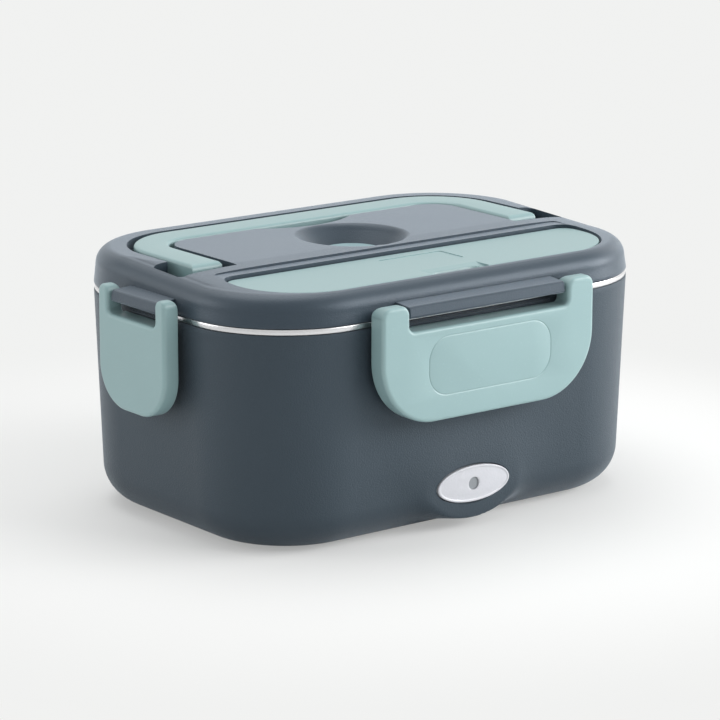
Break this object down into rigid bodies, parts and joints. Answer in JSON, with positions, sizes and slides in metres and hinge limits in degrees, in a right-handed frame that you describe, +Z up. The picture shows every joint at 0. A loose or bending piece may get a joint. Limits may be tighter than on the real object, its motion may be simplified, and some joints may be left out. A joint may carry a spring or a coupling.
{
  "type": "electric lunch box",
  "caption": "Electric lunch box: heated steel container in a slate grey body, lift-off lid with mint carry handle, cutlery pocket, steam plug and side latches",
  "frame": {"origin": "on the table, under the middle of the body", "axes": "+X along the length to the right, +Y to the back, away from the lamp, +Z up"},
  "size_m": [0.263, 0.1894, 0.1226],
  "materials": {
    "body_plastic": "dark slate grey, fine matte grain",
    "lid_plastic": "dark slate grey, satin",
    "inner_plastic": "dark grey moulded",
    "liner_plastic": "mid grey, satin",
    "mint_plastic": "pale mint green, satin gloss",
    "mint_silicone": "pale mint green, soft",
    "container_steel": "drawn stainless steel",
    "plated_steel": "plated steel",
    "cast_aluminium": "cast, as machined",
    "heater_ceramic": "off-white ceramic",
    "dark_plastic": "near black",
    "foot_rubber": "black, matt",
    "seal_rubber": "translucent white silicone",
    "lens_clear": "pale, semi-clear, bright rim",
    "lamp_body": "smoky",
    "board_green": "green circuit board",
    "fuse_brass": "dull",
    "pin_brass": "polished",
    "lead_red": "red insulation",
    "lead_dark": "dark insulation"
  },
  "bodies": {
    "base": {"outer_shell": "body_plastic", "inner_tub": "inner_plastic", "base_cover": "body_plastic", "feet": "foot_rubber", "base_screws": "plated_steel", "heating_plate": "cast_aluminium", "heaters": "heater_ceramic", "heater_clamp": "plated_steel", "clamp_screws": "plated_steel", "thermostat": "dark_plastic", "thermal_fuse": "fuse_brass", "led_board": "board_green", "led": "lamp_body", "lamp_lens": "lens_clear", "power_socket": "dark_plastic", "socket_pins": "pin_brass", "heater_leads": "lead_red", "lamp_leads": "lead_dark"},
    "container": {"steel_container": "container_steel"},
    "lid": {"lid_shell": "lid_plastic", "lid_liner": "liner_plastic", "lid_seal": "seal_rubber", "latch_pins": "plated_steel", "handle_pins": "plated_steel", "cover_pins": "plated_steel"},
    "handle": {"handle": "mint_plastic"},
    "cutlery_cover": {"cutlery_cover": "mint_plastic"},
    "steam_plug": {"steam_plug": "mint_silicone"},
    "latch_front": {"latch_front": "mint_plastic"},
    "latch_back": {"latch_back": "mint_plastic"},
    "latch_left": {"latch_left": "mint_plastic"},
    "latch_right": {"latch_right": "mint_plastic"}
  },
  "joints": [
    {"name": "container_lift", "type": "slide", "parent": "base", "child": "container", "axis": [0, 0, 1], "range_m": [0, 0.12]},
    {"name": "lid_lift", "type": "slide", "parent": "container", "child": "lid", "axis": [0, 0, 1], "range_m": [0, 0.15]},
    {"name": "handle_swing", "type": "hinge", "parent": "lid", "child": "handle", "pos_m": [0, -0.0015, 0.1134], "axis": [1, 0, 0], "range_deg": [0, 90]},
    {"name": "cover_hinge", "type": "hinge", "parent": "lid", "child": "cutlery_cover", "pos_m": [0, -0.0325, 0.1169], "axis": [-1, 0, 0], "range_deg": [0, 105]},
    {"name": "plug_lift", "type": "slide", "parent": "lid", "child": "steam_plug", "axis": [0, 0, 1], "range_m": [0, 0.003]},
    {"name": "latch_front_swing", "type": "hinge", "parent": "lid", "child": "latch_front", "pos_m": [0, -0.089, 0.1082], "axis": [-1, 0, 0], "range_deg": [0, 100]},
    {"name": "latch_back_swing", "type": "hinge", "parent": "lid", "child": "latch_back", "pos_m": [0, 0.089, 0.1082], "axis": [1, 0, 0], "range_deg": [0, 100]},
    {"name": "latch_left_swing", "type": "hinge", "parent": "lid", "child": "latch_left", "pos_m": [-0.12585, 0, 0.1082], "axis": [0, 1, 0], "range_deg": [0, 100]},
    {"name": "latch_right_swing", "type": "hinge", "parent": "lid", "child": "latch_right", "pos_m": [0.12585, 0, 0.1082], "axis": [0, -1, 0], "range_deg": [0, 100]}
  ]
}
